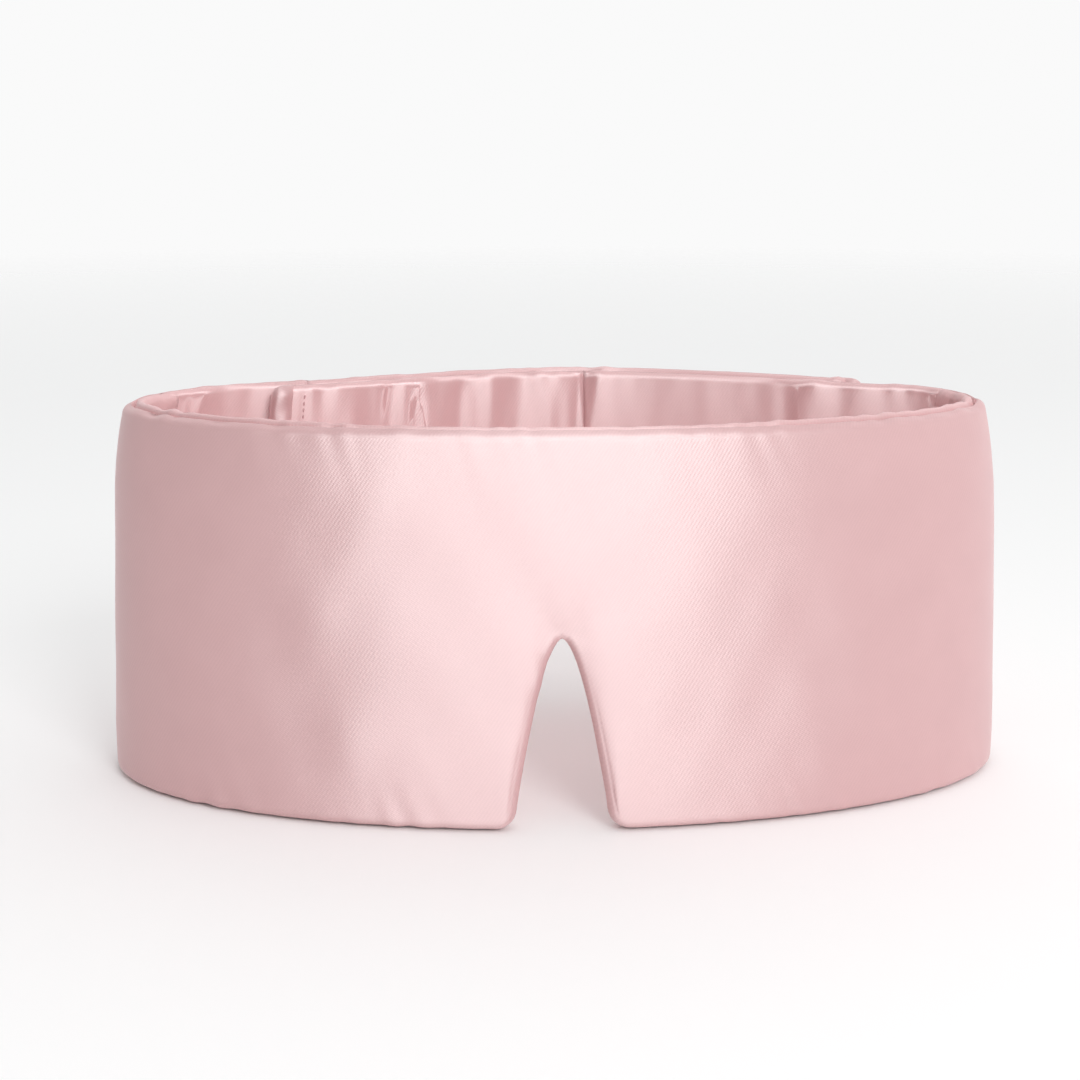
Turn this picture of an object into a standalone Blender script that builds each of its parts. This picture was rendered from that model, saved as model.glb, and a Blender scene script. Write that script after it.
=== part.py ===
"""Sleep eye mask: a padded front with a nose notch, and two straps that close at the back.

Units are metres, +Z is up and the mask faces -Y. It stands on its bottom rim, at z = 0.
Seen from above, the mask and its straps form one loop. Every fabric piece is a panel that is
laid out flat, along the loop and up, and then bent round the loop.
"""
import math

import bpy
import numpy as np
from mathutils import Vector

# Loop, seen from above
HALF_WIDTH = 0.119  # of the whole loop, to the outside
FRONT_Y = -0.052  # the front-most point of the shell
BACK_Y = 0.052  # the rear-most point of the outer strap
FRONT_CURVE_DEPTH = 0.047  # from the front to the widest place
SEAM_ANGLE = math.radians(112)  # where the sides end, counted from the front
FLAT_RIM_ANGLE = math.radians(100)  # the bottom rim is flat as far as here
STRAP_OFFSET = 0.0075  # from the outer strap's outside to the inner strap's

# Heights
MASK_HEIGHT = 0.100
STRAP_LOW = 0.030  # bottom edge of the straps, once they have narrowed
TAPER_LENGTH = 0.095  # over which they narrow

# Nose notch, a pointed arch
NOTCH_HEIGHT = 0.048
NOTCH_HALF_WIDTH = 0.0122
NOTCH_POWER = 0.6
NOTCH_CORNER = 0.004

# Thicknesses
FRONT_THICKNESS = 0.0066
STRAP_THICKNESS = 0.0046
SKIN = 0.0008  # satin with its fusible backing
GAP = 0.0003  # between neighbouring pieces
BLACKOUT = 0.0005
TAPE = 0.0010
HEM_WIDTH = 0.006
HEM_PROUD = 0.0003  # a hem stands this much proud of the strap
THREAD = 0.0004
FRONT_ROUND = 0.0014  # rounding of the front's rim
STRAP_ROUND = 0.0011
WALL = 0.0010  # depth of the turned-in rim, in the panel's plane

# Places along the loop, given as x, and how far the pieces there reach
OUTER_CREASE_X = 0.008
INNER_FOLD_X = -0.032
TIP_CORNER = 0.003
HOOK_X = (0.018, 0.080)
LOOP_X = (0.014, 0.074)
TAPE_Z = (0.040, 0.090)
BLACKOUT_REACH = 0.092
BLACKOUT_MARGIN = 0.006
ELASTIC_ANGLES = (math.radians(80), math.radians(108))
ELASTIC_Z = (0.084, 0.094)

# Colours: base colour, roughness
SATIN = ((0.86, 0.60, 0.60), 0.42)
LINING = ((0.78, 0.52, 0.53), 0.5)
WADDING = ((0.92, 0.91, 0.89), 0.95)
BLACKOUT_CLOTH = ((0.03, 0.03, 0.035), 0.9)
HOOKS = ((0.80, 0.60, 0.60), 0.7)
LOOPS = ((0.82, 0.60, 0.61), 0.95)
ELASTIC = ((0.88, 0.86, 0.85), 0.8)
THREADS = ((0.80, 0.55, 0.56), 0.6)


class Path:
    """A curve seen from above, counterclockwise round the loop, measured by its length."""

    def __init__(self, points):
        self.points = np.array(points)
        steps = np.linalg.norm(np.diff(self.points, axis=0), axis=1)
        self.lengths = np.concatenate([[0.0], np.cumsum(steps)])
        self.length = float(self.lengths[-1])

    def point(self, s):
        """The point at length s."""
        return np.array([np.interp(s, self.lengths, self.points[:, i]) for i in (0, 1)])

    def inward(self, s):
        """The unit normal at length s that points into the loop."""
        reach = 0.0008
        along = self.point(min(s + reach, self.length)) - self.point(max(s - reach, 0.0))
        along = along / np.linalg.norm(along)
        return np.array([-along[1], along[0]])

    def at(self, s, depth, z):
        """The place at length s, depth inwards from the curve, at height z."""
        x, y = self.point(s) + self.inward(s) * depth
        return Vector((x, y, z))

    def length_at_x(self, x):
        """The length at which a curve that steadily changes its x passes x."""
        order = np.argsort(self.points[:, 0])
        return float(np.interp(x, self.points[order, 0], self.lengths[order]))


def ellipse_point(angle):
    """The outside of the mask at an angle from the front."""
    centre_y = FRONT_Y + FRONT_CURVE_DEPTH
    return (HALF_WIDTH * math.sin(angle), centre_y - FRONT_CURVE_DEPTH * math.cos(angle))


def smooth_curve(points, pieces=12):
    """A Catmull-Rom curve through points[1:-1]; the end points only set its directions."""
    p = [np.array(q, dtype=float) for q in points]
    curve = []
    for a, b, c, d in zip(p, p[1:], p[2:], p[3:]):
        for i in range(pieces):
            t = i / pieces
            curve.append(0.5 * (2 * b + (c - a) * t + (2 * a - 5 * b + 4 * c - d) * t**2
                                + (3 * b - a - 3 * c + d) * t**3))
    curve.append(p[-2])
    return curve


def seam_guide(neighbour, angle):
    """The guide point that lets a strap's curve meet the ellipse without a corner.

    neighbour is the strap's first knot beyond the seam, which is at the angle.
    """
    seam = np.array(ellipse_point(angle))
    back = np.array(ellipse_point(angle - math.copysign(0.01, angle))) - seam
    chord = np.linalg.norm(np.array(neighbour) - seam)
    return tuple(np.array(neighbour) + back / np.linalg.norm(back) * 2 * chord)


def front_path():
    """From the left seam round the front to the right seam."""
    return Path([ellipse_point(a) for a in np.linspace(-SEAM_ANGLE, SEAM_ANGLE, 181)])


def outer_strap_path():
    """The outside of the outer strap, from its tip at the right to the left seam."""
    knots = [(0.092, 0.0267), (0.070, 0.0360), (0.045, 0.0445), (0.023, 0.0505), (0.006, BACK_Y),
             (-0.015, 0.0495), (-0.040, 0.0415), (-0.070, 0.0300), (-0.092, 0.0228)]
    before = (0.107, 0.020)
    seam = [ellipse_point(-SEAM_ANGLE), seam_guide(knots[-1], -SEAM_ANGLE)]
    return Path(smooth_curve([before] + knots + seam))


def inner_strap_path(outer):
    """The outside of the inner strap, from the right seam to its tip inside the left side."""
    beside = [outer.at(outer.length_at_x(x), STRAP_OFFSET, 0.0)[:2]
              for x in (0.072, 0.047, 0.024, 0.006, -0.016, -0.041, -0.066, -0.084, -0.092)]
    first = (0.0880, 0.0203)
    seam = [seam_guide(first, SEAM_ANGLE), ellipse_point(SEAM_ANGLE)]
    return Path(smooth_curve(seam + [first] + beside))


def smoothstep(u):
    """From 0 to 1, with level ends."""
    u = min(max(u, 0.0), 1.0)
    return u * u * (3 - 2 * u)


def taper_low(distance):
    """Height of the bottom edge, at a distance beyond the flat rim."""
    return STRAP_LOW * smoothstep(distance / TAPER_LENGTH)


def notch_low(s):
    """Height of the nose notch at a distance s from the middle of the front."""
    across = abs(s)
    if across >= NOTCH_HALF_WIDTH + NOTCH_CORNER:
        return 0.0
    corner_top = NOTCH_CORNER
    edge = NOTCH_HALF_WIDTH * (1 - corner_top / NOTCH_HEIGHT) ** NOTCH_POWER
    if across > edge:
        t = min((across - edge) / NOTCH_CORNER, 1.0)
        return corner_top * (1 - math.sqrt(1 - (1 - t) ** 2))
    return NOTCH_HEIGHT * (1 - (across / NOTCH_HALF_WIDTH) ** (1 / NOTCH_POWER))


class Outline:
    """A flat panel between a bottom and a top edge, as pairs of (length, height) points."""

    def __init__(self, stations, low, high):
        self.low = [(s, low(s)) for s in stations]
        self.high = [(s, high(s)) for s in stations]

    def inset(self, distance):
        """The bottom and top edges, moved into the panel by a distance."""
        loop = [np.array(p) for p in self.low + self.high[::-1]]
        count = len(loop)
        moved = []
        for i, here in enumerate(loop):
            before, after = here - loop[i - 1], loop[(i + 1) % count] - here
            normals = [np.array([-v[1], v[0]]) / np.linalg.norm(v) for v in (before, after)]
            mitre = normals[0] + normals[1]
            moved.append(here + mitre * distance / max(0.4, float(mitre @ normals[0])))
        half = count // 2
        return moved[:half], moved[half:][::-1]


def panel_mesh(name, path, outline, rings):
    """A closed solid swept round an outline.

    rings is the profile: (inset from the outline, depth) from the first face to the last.
    """
    vertices, faces = [], []
    columns = len(outline.low)
    around = 2 * columns
    for inset, depth in rings:
        low, high = outline.inset(inset)
        vertices += [path.at(s, depth, z) for s, z in low + high[::-1]]
    for ring in range(len(rings) - 1):
        for i in range(around):
            j = (i + 1) % around
            a, b = ring * around, (ring + 1) * around
            faces.append((a + j, a + i, b + i, b + j))
    last = (len(rings) - 1) * around
    for i in range(columns - 1):
        opposite = around - 1 - i
        faces.append((i, i + 1, opposite - 1, opposite))
        faces.append((last + i, last + opposite, last + opposite - 1, last + i + 1))
    mesh = bpy.data.meshes.new(name)
    mesh.from_pydata(vertices, [], faces)
    return mesh


def material(name, look):
    """A plain material of a colour and a roughness."""
    colour, roughness = look
    made = bpy.data.materials.new(name)
    made.use_nodes = True
    shader = made.node_tree.nodes["Principled BSDF"]
    shader.inputs["Base Color"].default_value = (*colour, 1.0)
    shader.inputs["Roughness"].default_value = roughness
    shader.inputs["Metallic"].default_value = 0.0
    made.diffuse_color = (*colour, 1.0)
    return made


def add_panel(name, path, outline, rings, look, pivot=None):
    """Make a panel as an object of its own, on its joint's empty if it has one."""
    mesh = panel_mesh(name, path, outline, rings)
    part = bpy.data.objects.new(name, mesh)
    bpy.context.collection.objects.link(part)
    if pivot is not None:
        for vertex in mesh.vertices:
            vertex.co -= Vector(pivot["place"])
        part.parent = pivot
    mesh.materials.append(material(name, look))
    mesh.shade_smooth()
    mesh.set_sharp_from_angle(angle=math.radians(35))
    return part


def add_pivot(name, place, parent=None):
    """An empty on a joint's vertical axis."""
    pivot = bpy.data.objects.new(name, None)
    pivot.empty_display_size = 0.01
    pivot["place"] = tuple(place)
    pivot.location = Vector(place) - (Vector(parent["place"]) if parent else Vector())
    pivot.parent = parent
    bpy.context.collection.objects.link(pivot)
    return pivot


def shell_rings(thickness, rounding):
    """Profile of the outer satin: face, rounded rim, and the wall that turns in to the seam."""
    seam = thickness / 2 - GAP / 2
    return [(rounding, 0.0), (0.3 * rounding, 0.3 * rounding), (0.0, rounding), (0.0, seam),
            (WALL, seam), (WALL, SKIN)]


def lining_rings(thickness, rounding):
    """Profile of the inner satin, the shell's mirror image."""
    return [(inset, thickness - depth) for inset, depth in shell_rings(thickness, rounding)[::-1]]


def slab_rings(inset, near, far, rounding=0.0):
    """Profile of a plain layer between two depths, with rounded edges if wanted."""
    if not rounding:
        return [(inset, near), (inset, far)]
    soft = 0.3 * rounding
    half = [(inset + rounding, near), (inset + soft, near + soft), (inset, near + rounding)]
    return half + [(i, near + far - depth) for i, depth in half[::-1]]


def steps(start, end, size):
    """Even stations from start to end, no further apart than size."""
    count = max(2, math.ceil(abs(end - start) / size) + 1)
    return list(np.linspace(start, end, count))


def front_stations(path):
    """Stations round the front: close together at the notch and where the sides bend."""
    middle = path.length / 2
    notch = [0.0012, 0.0026, 0.0042, 0.006, 0.0078, 0.0094, 0.0108, 0.0120, 0.0130, 0.0144, 0.0165]
    bend_start, end = 0.100, middle - GAP
    side = steps(0.022, bend_start, 0.013) + steps(bend_start, end, 0.0062)[1:]
    right = notch + side
    return [middle - s for s in right[::-1]] + [middle] + [middle + s for s in right]


def build_front(path):
    """Shell, lining, padding, blackout layer and side elastic of the front."""
    middle = path.length / 2
    taper_start = Path([ellipse_point(a) for a in np.linspace(0, FLAT_RIM_ANGLE, 60)]).length

    def low(s):
        return notch_low(s - middle) + taper_low(abs(s - middle) - taper_start)

    outline = Outline(front_stations(path), low, lambda s: MASK_HEIGHT)
    inside = WALL + GAP
    stack = SKIN + GAP + BLACKOUT + GAP
    add_panel("front_shell", path, outline, shell_rings(FRONT_THICKNESS, FRONT_ROUND), SATIN)
    add_panel("front_lining", path, outline, lining_rings(FRONT_THICKNESS, FRONT_ROUND), LINING)
    add_panel("front_padding", path, outline,
              slab_rings(inside, SKIN + GAP, FRONT_THICKNESS - stack), WADDING)

    near = FRONT_THICKNESS - SKIN - GAP - BLACKOUT
    reach = [s for s in front_stations(path) if abs(s - middle) <= BLACKOUT_REACH]
    eyes = Outline(reach, low, lambda s: MASK_HEIGHT)
    add_panel("blackout_layer", path, eyes, slab_rings(BLACKOUT_MARGIN, near, near + BLACKOUT),
              BLACKOUT_CLOTH)

    ends = [Path([ellipse_point(a) for a in np.linspace(0, angle, 60)]).length + middle
            for angle in ELASTIC_ANGLES]
    band = Outline(steps(*ends, 0.005), lambda s: ELASTIC_Z[0], lambda s: ELASTIC_Z[1])
    add_panel("side_elastic", path, band, slab_rings(0.0, near, near + BLACKOUT), ELASTIC)


def strap_edges(path, seam, tip):
    """Bottom and top edge of a strap whose corners are rounded at its tip."""
    seam_rise = Path([ellipse_point(a) for a in np.linspace(FLAT_RIM_ANGLE, SEAM_ANGLE, 30)]).length

    def corner(s):
        into = TIP_CORNER - abs(s - tip)
        return TIP_CORNER - math.sqrt(TIP_CORNER**2 - into**2) if into > 0 else 0.0

    def low(s):
        return taper_low(seam_rise + abs(s - seam)) + corner(s)

    return low, lambda s: MASK_HEIGHT - corner(s)


def build_strap_part(name, path, start, end, edges, pivot):
    """Shell, lining and padding of one stretch of a strap."""
    outline = Outline(steps(start, end, 0.0105), *edges)
    inside = WALL + GAP
    rings = {
        "shell": (shell_rings(STRAP_THICKNESS, STRAP_ROUND), SATIN),
        "lining": (lining_rings(STRAP_THICKNESS, STRAP_ROUND), LINING),
        "padding": (slab_rings(inside, SKIN + GAP, STRAP_THICKNESS - SKIN - GAP), WADDING),
    }
    for layer, (profile, look) in rings.items():
        add_panel(f"{name}_{layer}", path, outline, profile, look, pivot)


def build_tip(name, path, tip, inwards, edges, seen_depth, pivot):
    """Folded hem that closes a strap's end, and the row of stitches beside it.

    inwards is +1 or -1, the way from the tip into the strap. seen_depth is the stitches' depth.
    """
    low, high = edges
    stations = sorted(tip + inwards * part * HEM_WIDTH for part in (0.04, 0.5, 1.0))
    add_panel(f"{name}_hem", path, Outline(stations, low, high),
              slab_rings(0.0, -HEM_PROUD, STRAP_THICKNESS + HEM_PROUD, STRAP_ROUND), SATIN, pivot)
    place = tip + inwards * (HEM_WIDTH + 0.003)
    ends = sorted((place, place + inwards * 2 * THREAD))
    row = Outline(ends, lambda s: low(s) + 0.004, lambda s: high(s) - 0.004)
    add_panel(f"{name}_topstitch", path, row, slab_rings(0.0, seen_depth, seen_depth + THREAD),
              THREADS, pivot)


def tape(name, path, reach, near, look, pivot):
    """A flat tape between two x positions, at a depth."""
    ends = sorted(path.length_at_x(x) for x in reach)
    outline = Outline(steps(*ends, 0.0105), lambda s: TAPE_Z[0], lambda s: TAPE_Z[1])
    add_panel(name, path, outline, slab_rings(0.0, near, near + TAPE), look, pivot)


def build_outer_strap(path):
    """The left strap, in two stretches with a joint at the left seam and one at the crease."""
    seam, tip = path.length, 0.0
    crease = path.length_at_x(OUTER_CREASE_X)
    edges = strap_edges(path, seam, tip)
    swing = add_pivot("outer_strap_pivot", path.at(seam, 0.0, MASK_HEIGHT / 2))
    peel = add_pivot("outer_strap_end_pivot", path.at(crease, 0.0, MASK_HEIGHT / 2), swing)
    build_strap_part("outer_strap", path, crease + GAP, seam - GAP, edges, swing)
    build_strap_part("outer_strap_end", path, HEM_WIDTH + GAP, crease - GAP, edges, peel)
    build_tip("outer_strap_end", path, tip, 1, edges, -GAP - THREAD, peel)
    tape("hook_tape", path, HOOK_X, STRAP_THICKNESS + GAP, HOOKS, peel)


def build_inner_strap(path):
    """The right strap, in two stretches with a joint at the right seam and one near the end."""
    seam, tip = 0.0, path.length
    fold = path.length_at_x(INNER_FOLD_X)
    edges = strap_edges(path, seam, tip)
    swing = add_pivot("inner_strap_pivot", path.at(seam, STRAP_THICKNESS, MASK_HEIGHT / 2))
    turn = add_pivot("inner_strap_end_pivot", path.at(fold, STRAP_THICKNESS, MASK_HEIGHT / 2), swing)
    build_strap_part("inner_strap", path, seam + GAP, fold - GAP, edges, swing)
    build_strap_part("inner_strap_end", path, fold + GAP, tip - HEM_WIDTH - GAP, edges, turn)
    build_tip("inner_strap_end", path, tip, -1, edges, STRAP_THICKNESS + GAP, turn)
    tape("loop_tape", path, LOOP_X, -GAP - TAPE, LOOPS, swing)


def main():
    """Clear the scene and build the mask."""
    for old in list(bpy.data.objects):
        bpy.data.objects.remove(old, do_unlink=True)
    outer = outer_strap_path()
    build_front(front_path())
    build_outer_strap(outer)
    build_inner_strap(inner_strap_path(outer))


main()
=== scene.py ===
"""Looks of the sleep eye mask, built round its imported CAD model.

Every fabric band (the front and each strap) is laid out flat, along the loop and up, given a
padded cross-section with a sewn rim, and bent round the loop. Metres, +Z up, the front faces -Y.
"""
import math

import bmesh
import bpy
import numpy as np
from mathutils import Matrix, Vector


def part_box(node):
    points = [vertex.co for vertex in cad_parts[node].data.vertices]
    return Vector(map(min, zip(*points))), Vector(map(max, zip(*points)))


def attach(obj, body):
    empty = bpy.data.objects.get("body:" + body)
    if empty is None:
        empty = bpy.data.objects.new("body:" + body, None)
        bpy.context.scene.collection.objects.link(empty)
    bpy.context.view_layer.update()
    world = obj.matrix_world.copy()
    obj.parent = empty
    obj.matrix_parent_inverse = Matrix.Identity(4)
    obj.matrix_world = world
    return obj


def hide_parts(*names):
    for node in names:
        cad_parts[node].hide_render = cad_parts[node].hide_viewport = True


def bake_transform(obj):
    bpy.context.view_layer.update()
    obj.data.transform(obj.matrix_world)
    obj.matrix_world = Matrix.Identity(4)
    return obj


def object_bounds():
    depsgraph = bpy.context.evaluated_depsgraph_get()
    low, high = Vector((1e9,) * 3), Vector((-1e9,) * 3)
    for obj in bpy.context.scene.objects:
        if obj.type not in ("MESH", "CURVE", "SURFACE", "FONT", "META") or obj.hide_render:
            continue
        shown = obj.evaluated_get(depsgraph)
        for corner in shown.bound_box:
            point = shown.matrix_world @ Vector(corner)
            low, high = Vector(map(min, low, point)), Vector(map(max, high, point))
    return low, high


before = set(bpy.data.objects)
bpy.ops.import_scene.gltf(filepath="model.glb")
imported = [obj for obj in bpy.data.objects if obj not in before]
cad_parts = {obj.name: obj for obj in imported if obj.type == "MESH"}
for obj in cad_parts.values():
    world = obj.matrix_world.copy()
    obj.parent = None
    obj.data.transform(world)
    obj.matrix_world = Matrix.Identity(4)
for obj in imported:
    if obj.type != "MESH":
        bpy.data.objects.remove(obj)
CAD_BOX = [list(corner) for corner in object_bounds()]

MM = 0.001
HEIGHT = CAD_BOX[1][2]
HALF_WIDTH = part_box("front_shell")[1].x - 0.4 * MM
FRONT_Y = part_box("front_shell")[0].y
BACK_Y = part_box("outer_strap_shell")[1].y

# The loop seen from above, as the CAD model has it
FRONT_CURVE_DEPTH = 47 * MM
SEAM_ANGLE = math.radians(112)
FLAT_RIM_ANGLE = math.radians(100)
STRAP_OFFSET = 7.5 * MM
STRAP_LOW = 30 * MM
TAPER_LENGTH = 95 * MM
NOTCH_HEIGHT = 48 * MM
NOTCH_HALF_WIDTH = 11.8 * MM
NOTCH_POWER = 0.6
NOTCH_CORNER = 5.5 * MM
FRONT_THICKNESS = 6.6 * MM
STRAP_THICKNESS = 4.6 * MM
TUCK = 5 * MM  # how far a strap reaches into the side it is sewn to
FLARE = 0.012  # the soft mask is this much wider at its foot than at mid height, each way
CORNER_LEAN = 0.019  # its top corners draw in by this much more
LEAN = 4 * MM  # and its front leans: the foot stands this far forward of the top


# ---- curves seen from above
class Curve:
    """A curve seen from above, counterclockwise, measured by its length."""

    def __init__(self, points, before=0.0):
        points = np.array(points, float)
        steps = np.linalg.norm(np.diff(points, axis=0), axis=1)
        self.s = np.concatenate([[0.0], np.cumsum(steps)])
        self.points = points
        self.start = before  # the length at which the strap's seam lies
        along = np.gradient(points, self.s, axis=0)
        along /= np.linalg.norm(along, axis=1)[:, None]
        self.along = along
        self.length = float(self.s[-1])

    def place(self, s, depth, z):
        """Points at lengths s, depths inwards from the curve, and heights z."""
        s, depth, z = np.broadcast_arrays(s, depth, z)
        inside = np.clip(s, 0, self.length)
        over = s - inside
        x, y = (np.interp(inside, self.s, self.points[:, i]) for i in (0, 1))
        ax, ay = (np.interp(inside, self.s, self.along[:, i]) for i in (0, 1))
        return np.stack([x + ax * over - ay * depth, y + ay * over + ax * depth, z], axis=-1)

    def at_x(self, x):
        """The length at which the curve passes x, where x changes steadily."""
        order = np.argsort(self.points[:, 0])
        return float(np.interp(x, self.points[order, 0], self.s[order]))


def ellipse_point(angle):
    """The outside of the mask at an angle from the front."""
    centre_y = FRONT_Y + FRONT_CURVE_DEPTH
    return (HALF_WIDTH * math.sin(angle), centre_y - FRONT_CURVE_DEPTH * math.cos(angle))


def ellipse_arc(start, end, count=400):
    """The points of the mask's outside between two angles."""
    return [ellipse_point(a) for a in np.linspace(start, end, count)]


def smooth_curve(points, pieces=24):
    """A Catmull-Rom curve through points[1:-1]; the end points only set its directions."""
    p = [np.array(q, float) for q in points]
    made = []
    for a, b, c, d in zip(p, p[1:], p[2:], p[3:]):
        for t in np.arange(pieces) / pieces:
            made.append(0.5 * (2 * b + (c - a) * t + (2 * a - 5 * b + 4 * c - d) * t**2
                               + (3 * b - a - 3 * c + d) * t**3))
    made.append(p[-2])
    return made


def seam_guide(neighbour, angle):
    """The guide point that lets a strap's curve meet the ellipse without a corner."""
    seam = np.array(ellipse_point(angle))
    back = np.array(ellipse_point(angle - math.copysign(0.01, angle))) - seam
    chord = np.linalg.norm(np.array(neighbour) - seam)
    return tuple(np.array(neighbour) + back / np.linalg.norm(back) * 2 * chord)


def outer_strap_curve():
    """The outside of the outer strap, from its tip at the right to just inside the left side."""
    knots = [(0.092, 0.0267), (0.070, 0.0360), (0.045, 0.0445), (0.023, 0.0505), (0.006, BACK_Y),
             (-0.015, 0.0495), (-0.040, 0.0415), (-0.070, 0.0300), (-0.092, 0.0228)]
    line = smooth_curve([(0.107, 0.020)] + knots
                        + [ellipse_point(-SEAM_ANGLE), seam_guide(knots[-1], -SEAM_ANGLE)])
    seam = Curve(line).length
    return Curve(line + ellipse_arc(-SEAM_ANGLE, -SEAM_ANGLE + 0.3, 60)[1:], seam)


def inner_strap_curve(outer):
    """The outside of the inner strap, from just inside the right side to its tip."""
    beside = [outer.place(outer.at_x(x), STRAP_OFFSET, 0.0)[:2]
              for x in (0.072, 0.047, 0.024, 0.006, -0.016, -0.041, -0.066, -0.084, -0.092)]
    first = (0.0880, 0.0203)
    line = smooth_curve([seam_guide(first, SEAM_ANGLE), ellipse_point(SEAM_ANGLE), first] + beside)
    lead = ellipse_arc(SEAM_ANGLE - 0.3, SEAM_ANGLE, 60)[:-1]
    return Curve(lead + line, Curve(lead + line[:1]).length)


# ---- edges of the flat panels
def smoothstep(u):
    """From 0 to 1, with level ends."""
    u = np.clip(u, 0.0, 1.0)
    return u * u * (3 - 2 * u)


def taper_low(distance):
    """Height of the bottom edge, at a distance beyond the flat rim."""
    return STRAP_LOW * smoothstep(distance / TAPER_LENGTH)


def notch_low(s):
    """Height of the nose notch at a distance s from the middle of the front."""
    across = np.abs(s)
    edge = NOTCH_HALF_WIDTH * (1 - NOTCH_CORNER / NOTCH_HEIGHT) ** NOTCH_POWER
    t = np.clip((across - edge) / NOTCH_CORNER, 0, 1)
    foot = NOTCH_CORNER * (1 - np.sqrt(np.clip(1 - (1 - t) ** 2, 0, 1)))
    inner = np.clip(across / NOTCH_HALF_WIDTH, 0, 1)
    arch = NOTCH_HEIGHT * (1 - inner ** (1 / NOTCH_POWER))
    return np.where(across > edge, foot, arch)


# ---- soft shapes
def ripple(a, b, seed, wave_a, wave_b, count=18):
    """Smooth noise of about unit size over two coordinates, with wavelengths in two ranges."""
    rng = np.random.default_rng(seed)
    total = np.zeros(np.broadcast(a, b).shape)
    for _ in range(count):
        ka = 2 * math.pi / rng.uniform(*wave_a) * rng.choice([-1, 1])
        kb = 2 * math.pi / rng.uniform(*wave_b) * rng.choice([-1, 1])
        total += np.cos(ka * a + kb * b + rng.uniform(0, 2 * math.pi))
    return total * math.sqrt(2 / count)


def bump(distance, width):
    """A smooth hill of height 1 and a given half width."""
    return np.exp(-(distance / width) ** 2)


class Band:
    """A padded band: a grid of points, stations along it by positions round its cross-section.

    Round the cross-section run the outside face, upwards, the top rim, the inside face, downwards,
    and the bottom rim. Each point keeps its length s, height z, depth, distance from the nearest
    rim, and outward side: 1 on the outside face, -1 on the inside face, between them on the rims.
    """

    def __init__(self, curve, stations, low, high, thickness, rows=44, rim=2.4 * MM,
                 groove=1.3 * MM):
        s = np.array(stations)
        self.curve, self.stations = curve, s
        low_z, high_z = low(s), high(s)
        thick = thickness(s) if callable(thickness) else np.full(len(s), thickness)
        even = np.linspace(0, 1, rows)
        f = 0.45 * even + 0.55 * (1 - np.cos(math.pi * even)) / 2
        u = np.array([0.015, 0.05, 0.1, 0.17, 0.25, 0.33, 0.4, 0.45, 0.48, 0.5,
                      0.52, 0.55, 0.6, 0.67, 0.75, 0.83, 0.9, 0.95, 0.985])
        round_off = rim * (1 - np.sqrt(np.clip(1 - np.abs(2 * u - 1) ** 2.6, 0, 1)))
        inset = round_off + groove * bump(u - 0.5, 0.07)
        rims = [(ui, math.cos(math.pi * ui), ii) for ui, ii in zip(u, inset)]
        columns = [(part, 0.0, 1.0, rim) for part in f] + [(1.0, *point) for point in rims]
        columns += [(part, 1.0, -1.0, rim) for part in f[::-1]]
        columns += [(0.0, *point) for point in rims[::-1]]
        shape = (len(s), len(columns))
        self.s, self.z, self.depth = (np.zeros(shape) for _ in range(3))
        self.side, self.share, self.f = (np.zeros(shape) for _ in range(3))
        slope_low = self._normal(s, low_z)
        slope_high = self._normal(s, high_z)
        for j, (part, ui, side, ins) in enumerate(columns):
            low_s, low_h = s - slope_low[0] * ins, low_z + slope_low[1] * ins
            high_s, high_h = s + slope_high[0] * ins, high_z - slope_high[1] * ins
            self.s[:, j] = low_s * (1 - part) + high_s * part
            self.z[:, j] = low_h * (1 - part) + high_h * part
            self.depth[:, j] = thick * ui
            self.side[:, j] = side
            self.share[:, j] = ui
            self.f[:, j] = part
        self.thick, self.low_z, self.high_z = (
            np.repeat(values[:, None], shape[1], axis=1) for values in (thick, low_z, high_z))
        self.edge = np.minimum(self.z - self.low_z, self.high_z - self.z)
        self.bend = np.zeros(shape)  # moves both faces inwards together
        self.out = np.zeros(shape)  # swells the surface outwards
        self.rows, self.rim_points = rows, len(u)

    @staticmethod
    def _normal(s, z):
        """The unit normal of an edge in the flat panel, as its parts along and up."""
        ds, dz = np.gradient(s), np.gradient(z)
        size = np.hypot(ds, dz)
        return dz / size, ds / size

    def base(self):
        """The grid of points before swelling."""
        return self.curve.place(self.s, self.depth + self.bend, self.z)

    def points(self):
        """The grid of points, swollen along the surface's own normals and flared to the foot."""
        p = self.base()
        along = np.gradient(p, axis=0)
        wrapped = np.concatenate([p[:, -1:], p, p[:, :1]], axis=1)
        round_it = (wrapped[:, 2:] - wrapped[:, :-2]) / 2
        normal = np.cross(along, round_it)
        normal /= np.maximum(np.linalg.norm(normal, axis=2), 1e-12)[..., None]
        p = p + normal * self.out[..., None]
        return flare(p)


def flare(p):
    """The soft mask spreads a little towards its foot, and its front leans."""
    spread = 1 + FLARE * (1 - 2 * p[..., 2] / HEIGHT)
    spread -= CORNER_LEAN * np.clip(4 * p[..., 2] / HEIGHT - 3, 0, 1.1) ** 2
    lean = LEAN * (1 - p[..., 2] / HEIGHT) * np.clip(p[..., 1] / FRONT_Y, 0, 1)
    return np.stack([p[..., 0] * spread, p[..., 1] - lean, p[..., 2]], axis=-1)


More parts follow.
